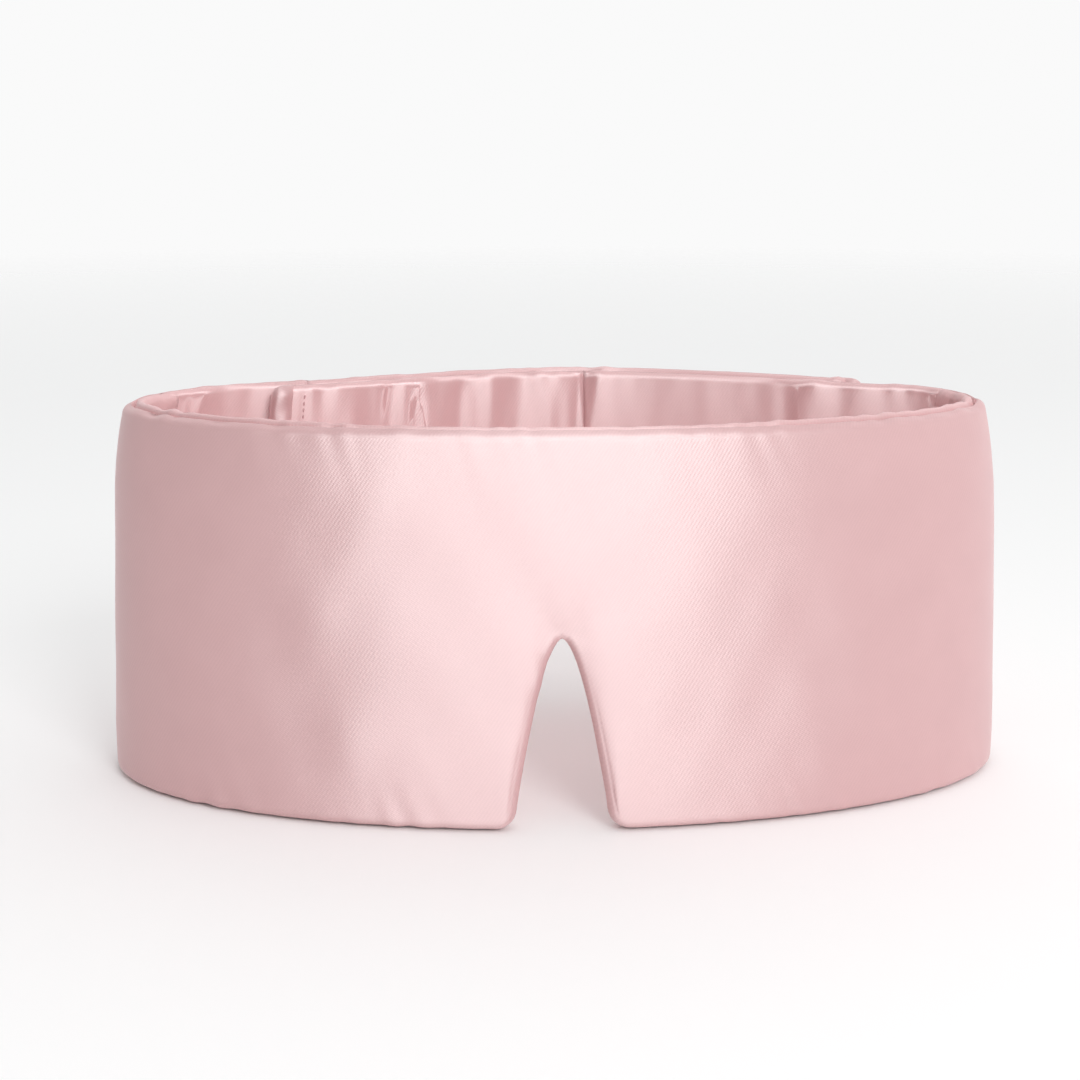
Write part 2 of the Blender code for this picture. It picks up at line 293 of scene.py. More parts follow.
# ---- meshes
def grid_mesh(name, p, uv, closed=False):
    """A mesh of quads over a grid of points, with a texture map in metres."""
    rows, cols = p.shape[:2]
    index = np.arange(rows * cols).reshape(rows, cols)
    if closed:
        index = np.concatenate([index, index[:, :1]], axis=1)
        wide = uv[:, :1] + np.array([0.0, 1.0]) * (uv[:, -1:] - uv[:, :1])
        uv = np.concatenate([uv, wide], axis=1)
    quads = np.stack([index[:-1, :-1], index[1:, :-1], index[1:, 1:], index[:-1, 1:]], axis=-1)
    corners = np.arange(rows * index.shape[1]).reshape(rows, -1)
    uv_quads = np.stack([corners[:-1, :-1], corners[1:, :-1], corners[1:, 1:], corners[:-1, 1:]],
                        axis=-1).reshape(-1)
    mesh = bpy.data.meshes.new(name)
    mesh.from_pydata(p.reshape(-1, 3).tolist(), [], quads.reshape(-1, 4).tolist())
    layer = mesh.uv_layers.new(name="weave")
    layer.data.foreach_set("uv", uv.reshape(-1, 2)[uv_quads].astype(np.float32).ravel())
    mesh.shade_smooth()
    return mesh


def add(name, mesh, material):
    """Link a mesh as an object with its material."""
    piece = bpy.data.objects.new(name, mesh)
    bpy.context.scene.collection.objects.link(piece)
    mesh.materials.append(material)
    return piece


def thicken(piece, thickness):
    """Give a fabric skin its thickness, inwards."""
    solid = piece.modifiers.new("fabric", "SOLIDIFY")
    solid.thickness = thickness
    solid.offset = -1
    solid.use_even_offset = False
    return piece


def around_lengths(p):
    """Distance round the cross-section of each grid point, from the middle station."""
    middle = p[len(p) // 2]
    steps = np.linalg.norm(np.diff(middle, axis=0), axis=1)
    return np.concatenate([[0.0], np.cumsum(steps)])


def weave_map(band, columns, lining):
    """Flat coordinates of a skin's fabric: along the band, and up its face and over its rims."""
    share, z, thick, low = (a[:, columns] for a in (band.share, band.z, band.thick, band.low_z))
    on_face = np.abs(band.side[:, columns]) == 1.0
    on_top = band.f[:, columns] == 1.0
    over_top = HEIGHT + thick * share
    if lining:
        full = 2 * HEIGHT + thick
        under = full - low + thick * (1 - share)
        v = np.where(on_face, full - z, np.where(on_top, over_top, under))
    else:
        v = np.where(on_face, z, np.where(on_top, over_top, low - thick * share))
    return np.stack([band.s[:, columns], v], axis=-1)


def band_skin(band, first, last, start, end, lining):
    """The points and texture map of part of a band's surface: columns first..last, rows start..end.

    Columns may run past the grid's end and come round again.
    """
    p = band.points()
    columns = np.arange(first, last) % p.shape[1]
    return p[start:end][:, columns], weave_map(band, columns, lining)[start:end]


def skins(band, name, start=0, end=None):
    """Meshes of a band's outside and inside, which meet in the rims' seam grooves."""
    end = len(band.stations) if end is None else end
    rows, rim = band.rows, band.rim_points
    total = 2 * (rows + rim)
    half = rim // 2
    shell = band_skin(band, total - half - 1, total + rows + half + 1, start, end, False)
    lining = band_skin(band, rows + half, 2 * rows + rim + half + 1, start, end, True)
    return grid_mesh(name + "_shell", *shell), grid_mesh(name + "_lining", *lining)


def wadding_mesh(band, name, inset, start=0, end=None):
    """A closed filling inside a band: inset from its edges, and within its swollen faces."""
    end = len(band.stations) if end is None else end
    s = band.stations
    apart = np.abs(s[:, None] - s[None])
    reach = np.where(apart < inset, np.sqrt(np.clip(inset**2 - apart**2, 0, None)), -HEIGHT)
    low = (band.low_z[:, 0][None] + reach).max(axis=1)
    high = (band.high_z[:, 0][None] - reach).min(axis=1)
    bend = band.bend[:, band.rows // 2]
    outside, inside = band.out[:, :band.rows], band.out[:, band.rows + band.rim_points:
                                                        2 * band.rows + band.rim_points]
    near = 1.0 * MM - outside.min(axis=1)
    far = np.maximum(band.thick[:, 0] - 1.0 * MM + inside.min(axis=1), near + 0.3 * MM)
    ring = [(part, near, 1) for part in np.linspace(0, 1, 14)]
    ring += [(part, far, -1) for part in np.linspace(1, 0, 14)]
    p = np.zeros((end - start, len(ring), 3))
    for j, (part, depth, way) in enumerate(ring):
        round_off = 0.1 * MM * (part in (0.0, 1.0)) * way
        here = band.curve.place(s, depth + bend + round_off, low * (1 - part) + high * part)
        p[:, j] = flare(here)[start:end]
    uv = np.stack([np.repeat(s[start:end, None], len(ring), axis=1),
                   np.repeat(np.arange(len(ring))[None] * 5 * MM, end - start, axis=0)], axis=-1)
    return with_caps(grid_mesh(name, p, uv, closed=True), *p.shape[:2])


# ---- materials
class Nodes:
    """Short names for building a material's nodes."""

    def __init__(self, name):
        self.material = bpy.data.materials.new(name)
        self.material.use_nodes = True
        self.tree = self.material.node_tree
        self.shader = self.tree.nodes["Principled BSDF"]

    def node(self, kind, **settings):
        """A node of a kind; settings are its properties, or its inputs by name."""
        made = self.tree.nodes.new(kind)
        for key, value in settings.items():
            if hasattr(made, key):
                setattr(made, key, value)
            else:
                made.inputs[key.replace("_", " ")].default_value = value
        return made

    def link(self, source, target):
        """Connect an output to an input."""
        self.tree.links.new(source, target)

    def math(self, operation, a, b=None):
        """A maths node on outputs or numbers."""
        made = self.tree.nodes.new("ShaderNodeMath")
        made.operation = operation
        for i, value in enumerate((a, b)):
            if value is None:
                continue
            if isinstance(value, (int, float)):
                made.inputs[i].default_value = value
            else:
                self.link(value, made.inputs[i])
        return made.outputs[0]


def weave_coordinates(n):
    """The piece's texture map, in metres."""
    return n.node("ShaderNodeUVMap", uv_map="weave").outputs["UV"]


def lines(n, coordinates, pitch, angle):
    """A wave of fine parallel lines, from 0 to 1."""
    turn = n.node("ShaderNodeMapping")
    turn.inputs["Rotation"].default_value = (0, 0, angle)
    n.link(coordinates, turn.inputs["Vector"])
    parts = n.node("ShaderNodeSeparateXYZ")
    n.link(turn.outputs["Vector"], parts.inputs[0])
    phase = n.math("MULTIPLY", parts.outputs["X"], 2 * math.pi / pitch)
    return n.math("ADD", n.math("MULTIPLY", n.math("SINE", phase), 0.5), 0.5)


def cloudy(n, coordinates, scale, detail=3.0):
    """Soft noise from 0 to 1, scale in cells per metre."""
    made = n.node("ShaderNodeTexNoise")
    made.inputs["Scale"].default_value = scale
    made.inputs["Detail"].default_value = detail
    n.link(coordinates, made.inputs["Vector"])
    return made.outputs["Fac"]


def mixed(n, factor, first, second):
    """A colour between two, by a factor."""
    made = n.node("ShaderNodeMix")
    made.data_type = "RGBA"
    made.inputs[6].default_value = (*first, 1)
    made.inputs[7].default_value = (*second, 1)
    n.link(factor, made.inputs[0])
    return made.outputs[2]


def bumped(n, height, distance, strength=1.0, under=None):
    """A bump of a height field, over another normal if one is given."""
    made = n.node("ShaderNodeBump")
    made.inputs["Strength"].default_value = strength
    made.inputs["Distance"].default_value = distance
    n.link(height, made.inputs["Height"])
    if under is not None:
        n.link(under, made.inputs["Normal"])
    return made.outputs["Normal"]


def satin(name, light, dark, roughness, sheen):
    """Satin: fine slanting twill lines, a woven grain, cloudy tone and a soft sheen."""
    n = Nodes(name)
    weave = weave_coordinates(n)
    twill = lines(n, weave, 0.80 * MM, math.radians(33))
    cross = lines(n, weave, 0.45 * MM, math.radians(-58))
    cloud = cloudy(n, weave, 70)
    grain = cloudy(n, weave, 1500, 2.0)
    tone = n.math("ADD", n.math("MULTIPLY", cloud, 0.55), n.math("MULTIPLY", twill, 0.25))
    tone = n.math("ADD", tone, n.math("MULTIPLY", grain, 0.2))
    n.link(mixed(n, tone, dark, light), n.shader.inputs["Base Color"])
    rough = n.math("ADD", n.math("MULTIPLY", grain, 0.12), n.math("MULTIPLY", cloud, 0.06))
    n.link(n.math("ADD", rough, roughness - 0.09), n.shader.inputs["Roughness"])
    threads = n.math("ADD", n.math("MULTIPLY", twill, 0.7), n.math("MULTIPLY", cross, 0.3))
    fine = bumped(n, threads, 0.02 * MM)
    n.link(bumped(n, grain, 0.03 * MM, 1.0, fine), n.shader.inputs["Normal"])
    n.shader.inputs["Sheen Weight"].default_value = sheen
    n.shader.inputs["Sheen Roughness"].default_value = 0.35
    n.shader.inputs["Sheen Tint"].default_value = (1.0, 0.9, 0.9, 1.0)
    n.shader.inputs["Specular IOR Level"].default_value = 0.9
    n.shader.inputs["Anisotropic"].default_value = 0.85
    n.shader.inputs["Anisotropic Rotation"].default_value = 0.25
    return n.material


def fibres(name, light, dark, scale, depth, roughness=0.95, sheen=0.3):
    """Matt fibrous cloth: wadding, felt or pile."""
    n = Nodes(name)
    place = n.node("ShaderNodeTexCoord").outputs["Object"]
    fuzz = cloudy(n, place, scale, 5.0)
    blotch = cloudy(n, place, scale / 12)
    tone = n.math("ADD", n.math("MULTIPLY", fuzz, 0.6), n.math("MULTIPLY", blotch, 0.4))
    n.link(mixed(n, tone, dark, light), n.shader.inputs["Base Color"])
    n.link(bumped(n, fuzz, depth), n.shader.inputs["Normal"])
    n.shader.inputs["Roughness"].default_value = roughness
    n.shader.inputs["Sheen Weight"].default_value = sheen
    return n.material


def ribbed(name, light, dark, pitch, roughness=0.75):
    """Woven tape or elastic with fine ribs."""
    n = Nodes(name)
    weave = weave_coordinates(n)
    ribs = lines(n, weave, pitch, 0.0)
    across = lines(n, weave, pitch * 0.8, math.radians(90))
    tone = n.math("ADD", n.math("MULTIPLY", ribs, 0.5), n.math("MULTIPLY", across, 0.3))
    n.link(mixed(n, tone, dark, light), n.shader.inputs["Base Color"])
    n.link(bumped(n, n.math("MULTIPLY", ribs, across), 0.2 * MM), n.shader.inputs["Normal"])
    n.shader.inputs["Roughness"].default_value = roughness
    n.shader.inputs["Sheen Weight"].default_value = 0.1
    return n.material


SATIN = satin("satin", (0.745, 0.465, 0.470), (0.635, 0.380, 0.386), 0.48, 0.15)
# the lining's satin is painted lighter than the outer satin: painted light that makes up for the
# shade inside the loop
LINING = satin("satin_lining", (0.83, 0.535, 0.54), (0.75, 0.455, 0.46), 0.48, 0.15)
WADDING = fibres("wadding", (0.86, 0.85, 0.83), (0.70, 0.69, 0.67), 1800, 0.3 * MM)
BLACKOUT = fibres("blackout_cloth", (0.03, 0.03, 0.035), (0.012, 0.012, 0.014), 2600, 0.1 * MM)
PILE = fibres("loop_pile", (0.80, 0.50, 0.51), (0.58, 0.33, 0.34), 2400, 0.5 * MM, 0.95, 0.5)
HOOK_BASE = ribbed("hook_tape", (0.74, 0.46, 0.47), (0.58, 0.34, 0.35), 0.9 * MM, 0.6)
ELASTIC = ribbed("elastic", (0.85, 0.82, 0.81), (0.62, 0.59, 0.58), 0.8 * MM)


def thread_material():
    """Twisted sewing thread."""
    n = Nodes("thread")
    place = n.node("ShaderNodeTexCoord").outputs["Object"]
    twist = lines(n, place, 0.25 * MM, math.radians(30))
    n.link(mixed(n, twist, (0.60, 0.33, 0.34), (0.76, 0.46, 0.47)), n.shader.inputs["Base Color"])
    n.link(bumped(n, twist, 0.05 * MM), n.shader.inputs["Normal"])
    n.shader.inputs["Roughness"].default_value = 0.55
    n.shader.inputs["Sheen Weight"].default_value = 0.2
    return n.material


THREAD = thread_material()


# ---- the front
def stations(start, end, step):
    """Even stations from start to end."""
    return list(np.linspace(start, end, max(2, int(round(abs(end - start) / step)) + 1)))


def rim_puckers(band, seed, size, reach, wave):
    """Small gathers that run from the sewn rims into the faces and fade there."""
    along = ripple(band.s + 0.35 * band.z, band.z, seed, wave, (40 * MM, 90 * MM), 14)
    patchy = 0.65 + 0.35 * ripple(band.s, band.z, seed + 1, (30 * MM, 80 * MM),
                                  (60 * MM, 90 * MM), 6)
    fade = np.exp(-np.maximum(band.edge, 0) / reach)
    return size * along * np.clip(patchy, 0.15, 1.3) * fade


def front_band():
    """The padded front with its two sides, from the left seam to the right seam."""
    curve = Curve(ellipse_arc(-SEAM_ANGLE, SEAM_ANGLE, 1400))
    middle = curve.length / 2
    half = [0.4, 1.0, 1.7, 2.5, 3.3, 4.2, 5.0, 5.9, 6.8, 7.6, 8.4, 9.2, 9.9, 10.5, 11.1, 11.6, 12.0,
            12.5, 13.0, 13.6, 14.2, 14.8, 15.5, 16.2, 17.0, 18.0]
    half = [h * MM for h in half] + stations(19.2 * MM, middle, 1.35 * MM)
    s = [middle - h for h in half[::-1]] + [middle] + [middle + h for h in half]
    arc = Curve(ellipse_arc(0, FLAT_RIM_ANGLE)).length

    def thickness(at):
        pinch = smoothstep((np.abs(at - middle) - (middle - 16 * MM)) / (16 * MM))
        return FRONT_THICKNESS - 0.7 * MM * pinch

    band = Band(curve, s, lambda q: notch_low(q - middle) + taper_low(np.abs(q - middle) - arc),
                lambda q: np.full(len(q), HEIGHT), thickness, rows=56)
    x = band.s - middle
    outside, inside = np.clip(band.side, 0, 1), np.clip(-band.side, 0, 1)
    crown = 1 - np.exp(-np.maximum(band.edge, 0) / (11 * MM))
    swell = (0.55 * crown - 0.35) * MM
    soft = 0.17 * MM * ripple(x, band.z, 11, (55 * MM, 120 * MM), (70 * MM, 160 * MM)) * crown
    soft += 0.045 * MM * ripple(x, band.z, 12, (16 * MM, 34 * MM), (26 * MM, 70 * MM)) * crown
    for at, height, radius, size in ((-46, 80, 8, 0.42), (-60, 53, 10, 0.42), (-52, 20, 8, 0.55),
                                     (-80, 34, 18, -0.25), (-30, 62, 14, -0.25), (44, 60, 20, 0.2)):
        away = np.hypot(x - at * MM, 0.8 * (band.z - height * MM))
        soft += size * MM * bump(away, radius * MM) * outside
    band.out += (swell + soft) * (outside + inside)
    band.out += rim_puckers(band, 21, 0.15 * MM, 7 * MM, (5 * MM, 11 * MM)) * (0.5 + 0.5 * inside)
    to_end = middle - np.abs(x)
    # the top seam lies in a groove between an outer ridge and a higher inner one
    on_top = (band.f == 1.0) * (np.abs(band.side) < 0.999)
    turned = 0.35 + 0.65 * smoothstep((np.abs(x + 6 * MM) - 40 * MM) / (28 * MM))
    turned *= smoothstep((to_end - 3 * MM) / (22 * MM))
    uneven = ripple(x, band.z, 22, (8 * MM, 22 * MM), (60 * MM, 90 * MM))
    band.out += on_top * turned * MM * (
        (0.24 * uneven - 0.35) * bump(band.share - 0.22, 0.17) - 0.5 * bump(band.share - 0.46, 0.10)
        + (0.7 + 0.12 * uneven) * bump(band.share - 0.74, 0.19))
    # shallow creases that spread upwards from the notch's point
    up = band.z - NOTCH_HEIGHT
    for lean, size in ((-0.62, -0.30), (0.70, -0.26), (0.05, 0.12), (-1.5, -0.14), (1.6, -0.14)):
        length = np.hypot(x, up)
        across = (x - lean * up) / math.hypot(1, lean)
        ray = bump(across, 1.6 * MM + 0.16 * np.abs(length)) * np.exp(-np.abs(length) / (17 * MM))
        band.out += size * MM * ray * outside * smoothstep((up + 1 * MM) / (4 * MM))
    # the ends are sewn down onto the straps
    band.out -= 0.55 * MM * bump(to_end - 2.6 * MM, 1.3 * MM) * (outside + inside)
    band.out += 0.14 * MM * ripple(band.z, x, 31, (5 * MM, 12 * MM), (30 * MM, 60 * MM)) * np.exp(
        -to_end / (9 * MM)) * (outside + inside)
    band.out -= 0.75 * MM * bump(to_end, 1.9 * MM) * (outside + inside)
    # the right side's lining is gathered by its elastic
    gather = smoothstep((x - 108 * MM) / (10 * MM)) * smoothstep(
        (HEIGHT - 2 * MM - band.z + 26 * MM) / (26 * MM))
    near_top = np.exp(-np.maximum(HEIGHT - band.z, 0) / (16 * MM))
    band.out += 0.42 * MM * ripple(x, band.z, 41, (7.5 * MM, 10.5 * MM), (90 * MM, 200 * MM), 8) * (
        gather * near_top * (0.15 + 0.85 * inside))
    return band, middle


def declare_sheet(band, depth, low, high):
    """Works out a thin piece's outline at its own depth and its height, and does nothing more with
    them.
    """
    at = band.stations
    line = np.array([tuple(band.curve.place(s, depth, HEIGHT / 2)) for s in at])
    tall = high(at) - low(at)


def front_layer(name, curve, band_s, low, high, near, thickness, material, node):
    """A thin layer hidden inside the front, as a closed sheet."""
    band = Band(curve, band_s, low, high, thickness, rows=18, rim=0.2 * MM, groove=0.0)
    band.bend += near
    piece = add(name, solid_mesh(band, name), material)
    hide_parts(node)
    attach(piece, "mask")
    declare_sheet(band, near, low, high)


def build_front():
    """Shell, lining, wadding, blackout layer and elastic of the front."""
    band, middle = front_band()
    shell, lining = skins(band, "front")
    shell = thicken(add("mask_front_shell", shell, SATIN), 0.45 * MM)
    lining = thicken(add("mask_front_lining", lining, LINING), 0.45 * MM)
    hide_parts("front_shell")
    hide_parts("front_lining")
    inner = np.flatnonzero(np.abs(band.stations - middle) < middle - TUCK - 3 * MM)
    filling = wadding_mesh(band, "mask_front_wadding", 2.4 * MM, inner[0], inner[-1] + 1)
    filling = add("mask_front_wadding", filling, WADDING)
    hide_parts("front_padding")
    for piece in (shell, lining, filling):
        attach(piece, "mask")

    reach, margin = 92 * MM, 6 * MM
    front_layer("mask_blackout_layer", band.curve, stations(middle - reach, middle + reach, 2 * MM),
                lambda q: notch_low(q - middle) + margin,
                lambda q: np.full(len(q), HEIGHT - margin), 5.0 * MM, 0.5 * MM, BLACKOUT,
                "blackout_layer")
    ends = [middle + Curve(ellipse_arc(0, math.radians(a))).length for a in (80, 108)]
    front_layer("mask_side_elastic", band.curve, stations(*ends, 2 * MM),
                lambda q: np.full(len(q), 84 * MM), lambda q: np.full(len(q), 94 * MM),
                5.0 * MM, 0.5 * MM, ELASTIC, "side_elastic")
    for name, end, way in (("left", 0.0, 1), ("right", band.curve.length, -1)):
        at = end + way * 2.6 * MM
        path = [(at, 6 * MM), (at, HEIGHT - 4 * MM)]
        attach(stitch_row(f"{name}_seam_stitches", band, path, (False, True)), "mask")


# ---- closed small pieces
def solid_mesh(band, name):
    """A closed solid over a whole band, with flat ends."""
    p = band.points()
    rows, cols = p.shape[:2]
    across = around_lengths(p)
    uv = np.stack([np.repeat(band.stations[:, None], cols, axis=1),
                   np.repeat(across[None], rows, axis=0)], axis=-1)
    mesh = grid_mesh(name, p, uv, closed=True)
    return with_caps(mesh, rows, cols)


def with_caps(mesh, rows, cols):
    """Close both ends of a closed grid with one flat face each, keeping its texture map."""
    shape = bmesh.new()
    shape.from_mesh(mesh)
    shape.verts.ensure_lookup_table()
    layer = shape.loops.layers.uv.active
    for ring in (range(cols), range((rows - 1) * cols, rows * cols)):
        corners = [shape.verts[i] for i in ring]
        face = shape.faces.new(corners)
        for loop in face.loops:
            loop[layer].uv = (loop.vert.co.x, loop.vert.co.z)
    bmesh.ops.recalc_face_normals(shape, faces=shape.faces)
    shape.to_mesh(mesh)
    shape.free()
    mesh.shade_smooth()
    mesh.set_sharp_from_angle(angle=math.radians(60))
    return mesh


def tube_mesh(name, rings):
    """A closed solid through rings of points, an array of levels by points by 3."""
    levels, around = rings.shape[:2]
    uv = np.stack(np.meshgrid(np.linspace(0, HEIGHT, levels), np.linspace(0, 0.02, around),
                              indexing="ij"), axis=-1)
    return with_caps(grid_mesh(name, rings, uv, closed=True), levels, around)


STITCH_PROBE = 0.3 * MM  # how far beside a stitch the surface's slope is read


def on_face(band, points, s, z, inside):
    """Places on a band's swollen face at lengths s and heights z, as an array of points."""
    first = band.rows + band.rim_points if inside else 0
    face = points[:, first:first + band.rows]
    heights = band.z[:, first:first + band.rows]
    if inside:
        face, heights = face[:, ::-1], heights[:, ::-1]
    station = np.clip(np.interp(s, band.stations, np.arange(len(band.stations))), 0,
                      len(band.stations) - 1.001)
    made = np.zeros((len(station), 3))
    for i, (at, height) in enumerate(zip(station, np.broadcast_to(z, len(station)))):
        k = int(at)
        for row, share in ((k, 1 - at + k), (k + 1, at - k)):
            level = np.clip(np.interp(height, heights[row], np.arange(band.rows)), 0,
                            band.rows - 1.001)
            m = int(level)
            made[i] += share * (face[row, m] * (1 - level + m) + face[row, m + 1] * (level - m))
    return made


def stitch_row(name, band, path, faces, pitch=1.85 * MM, length=1.35 * MM, radius=0.26 * MM):
    """Rows of short raised stitches along a path of (length, height) points, on a band's faces."""
    path = np.array(path, float)
    steps = np.linalg.norm(np.diff(path, axis=0), axis=1)
    run = np.concatenate([[0.0], np.cumsum(steps)])
    count = int(run[-1] / pitch)
    offset = (run[-1] - count * pitch) / 2
    rng = np.random.default_rng(len(name))
    profile = ((-0.5, 0.25), (-0.42, 0.75), (-0.2, 1.0), (0.2, 1.0), (0.42, 0.75), (0.5, 0.25))
    round_it = np.linspace(0, 2 * math.pi, 8, endpoint=False)
    middles = offset + (np.arange(count) + 0.5) * pitch
    surface = band.points()
    vertices, faces_made = [], []
    for inside in faces:
        ends = [on_face(band, surface, *(np.interp(middles + way * length / 2, run, path[:, k])
                                         for k in (0, 1)), inside) for way in (-1, 1)]
        centre = (ends[0] + ends[1]) / 2
        along = ends[1] - ends[0]
        along /= np.linalg.norm(along, axis=1)[:, None]
        beside = on_face(band, surface, np.interp(middles, run, path[:, 0]) + STITCH_PROBE,
                         np.interp(middles, run, path[:, 1]) + STITCH_PROBE, inside) - centre
        out = np.cross(along, beside)
        out /= np.linalg.norm(out, axis=1)[:, None]
        outward = band.curve.place(np.interp(middles, run, path[:, 0]), -1.0, 0.0) - (
            band.curve.place(np.interp(middles, run, path[:, 0]), 0.0, 0.0))
        out *= np.sign((out * outward).sum(axis=1) * (-1 if inside else 1))[:, None]
        side = np.cross(out, along)
        for c, forward, up, across in zip(centre, along, out, side):
            across, forward = (across + rng.normal(0, 0.06) * forward,
                               forward - rng.normal(0, 0.06) * across)
            first = len(vertices)
            for way, wide in profile:
                sink = radius * (0.35 + 1.1 * (2 * abs(way)) ** 3)
                for a in round_it:
                    sideways = across * radius * wide * math.cos(a)
                    upwards = up * (radius * wide * math.sin(a) - sink + 0.12 * MM)
                    vertices.append(c + forward * way * length + sideways + upwards)
            for r in range(len(profile) - 1):
                for k in range(8):
                    a, b = first + 8 * r, first + 8 * (r + 1)
                    faces_made.append((a + k, a + (k + 1) % 8, b + (k + 1) % 8, b + k))
            faces_made.append(tuple(first + k for k in range(8))[::-1])
            faces_made.append(tuple(first + 8 * (len(profile) - 1) + k for k in range(8)))
    mesh = bpy.data.meshes.new(name)
    mesh.from_pydata([tuple(v) for v in vertices], [], faces_made)
    edit = bmesh.new()
    edit.from_mesh(mesh)
    bmesh.ops.recalc_face_normals(edit, faces=edit.faces)
    edit.to_mesh(mesh)
    edit.free()
    mesh.uv_layers.new(name="weave")
    mesh.shade_smooth()
    return add(name, mesh, THREAD)


# ---- the straps
HEM_WIDTH = 6 * MM
TIP_CORNER = 3 * MM
OUTER_CREASE_X = 8 * MM
INNER_FOLD_X = -32 * MM
OUTER_JOIN_X = -73 * MM  # where the two pieces of the outer strap's cover meet
INNER_JOIN_X = 10 * MM  # the seam in the inner strap
BEND_REACH = 9 * MM  # bend points lie this far to each side of a crease
SEAM_BEND = 17 * MM  # and this far from a sewn side
TAPE_LOW, TAPE_HIGH = 40 * MM, 90 * MM
HOOK_TAPE_X = (18 * MM, 80 * MM)
LOOP_TAPE_X = (14 * MM, 74 * MM)
TAPE_CORNER = 3 * MM
STITCH_FROM_HEM = 3.2 * MM
STATION_STEP = 1.25 * MM


def rounded(distance, radius):
    """How far a rounded corner cuts in, at a distance from the end."""
    into = np.clip(radius - distance, 0, radius)
    return radius - np.sqrt(radius**2 - into**2)


def strap_edges(seam, tip):
    """Bottom and top edge of a strap, rounded at its tip."""
    rise = Curve(ellipse_arc(FLAT_RIM_ANGLE, SEAM_ANGLE)).length

    def corner(q):
        return rounded(np.abs(q - tip), TIP_CORNER)

    return (lambda q: taper_low(rise + np.abs(q - seam) * np.where((q - seam) * (tip - seam) > 0,
                                                                   1, -1)) + corner(q),
            lambda q: HEIGHT - corner(q))


def hem_mesh(curve, tip, inwards, edges, seed):
    """The folded hem that closes a strap's end: a soft rounded bar."""
    low, high = (float(edge(np.array([tip + inwards * HEM_WIDTH]))[0]) for edge in edges)
    levels = np.concatenate([[0.0, 0.004, 0.012, 0.025, 0.045], np.linspace(0.07, 0.93, 56),
                             [0.955, 0.975, 0.988, 0.996, 1.0]])
    z = low + (high - low) * levels
    near_end = np.minimum(z - low, high - z)
    cut = rounded(near_end, TIP_CORNER)
    outer_s = np.minimum(cut, HEM_WIDTH * 0.85)
    inner_s = np.full(len(z), HEM_WIDTH + 0.5 * MM)
    thin = np.sqrt(np.clip(near_end / (2.0 * MM), 0.03, 1))
    angles = np.linspace(0, 2 * math.pi, 36, endpoint=False)
    c, w = np.cos(angles), np.sin(angles)
    square_c, square_w = np.sign(c) * np.abs(c) ** 0.75, np.sign(w) * np.abs(w) ** 0.75
    centre, half = (outer_s + inner_s) / 2, (inner_s - outer_s) / 2
    along = centre[:, None] + half[:, None] * square_c[None]
    crease = 1 + 0.04 * ripple(z[:, None], angles[None], seed, (5 * MM, 14 * MM), (2.0, 6.3), 10)
    half_depth = (STRAP_THICKNESS / 2 + 0.45 * MM) * thin[:, None] * crease
    depth = STRAP_THICKNESS / 2 + half_depth * square_w[None]
    rings = curve.place(tip + inwards * along, depth, z[:, None] + 0 * along)
    return flare(rings)


def strap_relief(band, seam, tip, seed, flat_x, flat_side, folds, fold_size):
    """Padding, gathers and folds of a strap.

    flat_x and flat_side say where a tape holds the fabric flat. folds are (x, width, size) ridges.
    """
    x = band.curve.place(band.s, 0.0, band.z)[..., 0]
    faces = np.abs(band.side)
    crown = 1 - np.exp(-np.maximum(band.edge, 0) / (8 * MM))
    taped = smoothstep((x - flat_x[0]) / (6 * MM)) * smoothstep((flat_x[1] - x) / (6 * MM))
    loose = 1 - taped * np.where(band.side * flat_side > 0, 1.0, 0.72)
    band.out += (0.30 * crown - 0.22) * MM * faces
    soft = ripple(x, band.z, seed, (13 * MM, 32 * MM), (80 * MM, 220 * MM), 14)
    fine = ripple(x, band.z, seed + 1, (6 * MM, 12 * MM), (30 * MM, 90 * MM), 14)
    inner = np.clip(-band.side, 0, 1)
    outer = np.clip(band.side, 0, 1)
    near_side = smoothstep((x + 80 * MM) / (14 * MM))
    inner_folds = (0.2 + 0.8 * near_side) * inner
    band.out += MM * (0.26 * soft + 0.10 * fine) * loose * (0.6 * outer + inner_folds) * fold_size
    for at, width, size in folds:
        lean = 0.10 * (band.z - HEIGHT)
        band.out += size * MM * bump(x - at - lean, width * MM) * inner
    band.out += rim_puckers(band, seed + 2, 0.13 * MM, 6 * MM, (5 * MM, 13 * MM)) * loose * (
        0.3 + 0.7 * faces)
    sway = ripple(x, band.z, seed + 3, (24 * MM, 50 * MM), (90 * MM, 200 * MM), 8)
    band.bend += 0.30 * MM * sway * (loose * smoothstep(np.abs(band.s - seam) / (18 * MM)))
    # the strap slips between the side's shell and lining, and the hem pinches its end
    beyond = 1 - smoothstep(np.abs(band.s - seam) / (10 * MM) - 0.1)
    beyond = np.where((band.s - seam) * (tip - seam) > 0, beyond, 1.0)
    band.bend += 0.65 * MM * beyond
    band.out -= 0.45 * MM * beyond * faces
    to_tip = np.abs(band.s - tip)
    band.out -= 0.40 * MM * bump(to_tip - HEM_WIDTH - STITCH_FROM_HEM, 1.3 * MM) * faces
    band.out -= 0.25 * MM * bump(to_tip - HEM_WIDTH, 1.2 * MM) * faces


